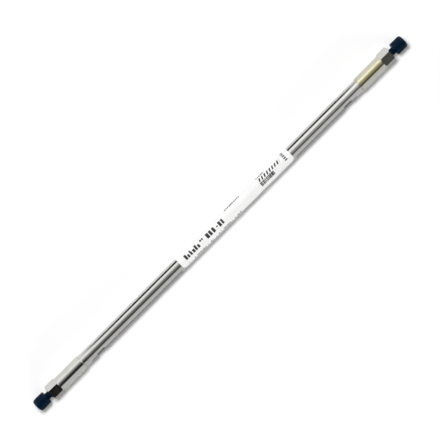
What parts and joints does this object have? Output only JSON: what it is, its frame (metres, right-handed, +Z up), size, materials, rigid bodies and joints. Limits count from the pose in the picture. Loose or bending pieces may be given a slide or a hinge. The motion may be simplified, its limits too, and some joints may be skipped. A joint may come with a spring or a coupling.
{
  "type": "hplc column",
  "caption": "Packed steel HPLC column tube with hexagon-headed end fittings, a wrapped label and knurled screw plugs in both ports.",
  "frame": {"origin": "on the column's axis, midway between the tube's two ends, which is the centre of the bounding box", "axes": "+X along the column's axis towards the inlet end (the tinted end fitting); +Z up, square to the hexagon flats that the column lies on"},
  "size_m": [0.2906, 0.0104, 0.009],
  "materials": {
    "tube_steel": "drawn and polished stainless steel",
    "outlet_steel": "bright turned stainless steel",
    "inlet_steel": "bright turned stainless steel with a faint straw tint",
    "frit_steel": "matt sintered steel",
    "seal_polymer": "natural tan sealing polymer",
    "packing": "fine white porous powder, packed hard",
    "label_film": null,
    "plug_polymer": "dark blue moulded polymer, satin"
  },
  "bodies": {
    "column": {"column_tube": "tube_steel", "packed_bed": "packing", "label": "label_film", "inlet_frit": "frit_steel", "inlet_frit_ring": "seal_polymer", "inlet_end_fitting": "inlet_steel", "outlet_frit": "frit_steel", "outlet_frit_ring": "seal_polymer", "outlet_end_fitting": "outlet_steel"},
    "inlet_tip": {"inlet_plug_ferrule": "seal_polymer"},
    "inlet_screw": {"inlet_plug": "plug_polymer"},
    "outlet_tip": {"outlet_plug_ferrule": "seal_polymer"},
    "outlet_screw": {"outlet_plug": "plug_polymer"}
  },
  "joints": [
    {"name": "inlet_plug_travel", "type": "slide", "parent": "column", "child": "inlet_tip", "axis": [1, 0, 0], "range_m": [0, 0.00516]},
    {"name": "inlet_plug_turn", "type": "hinge", "parent": "inlet_tip", "child": "inlet_screw", "pos_m": [0.13475, 0, 0], "axis": [1, 0, 0], "range_deg": [0, 2340]},
    {"name": "outlet_plug_travel", "type": "slide", "parent": "column", "child": "outlet_tip", "axis": [-1, 0, 0], "range_m": [0, 0.00516]},
    {"name": "outlet_plug_turn", "type": "hinge", "parent": "outlet_tip", "child": "outlet_screw", "pos_m": [-0.13475, 0, 0], "axis": [-1, 0, 0], "range_deg": [0, 2340]}
  ],
  "couplings": [
    {"joint": "inlet_plug_turn", "follows": "inlet_plug_travel", "rad_per_m": 7915.8},
    {"joint": "outlet_plug_turn", "follows": "outlet_plug_travel", "rad_per_m": 7915.8}
  ]
}
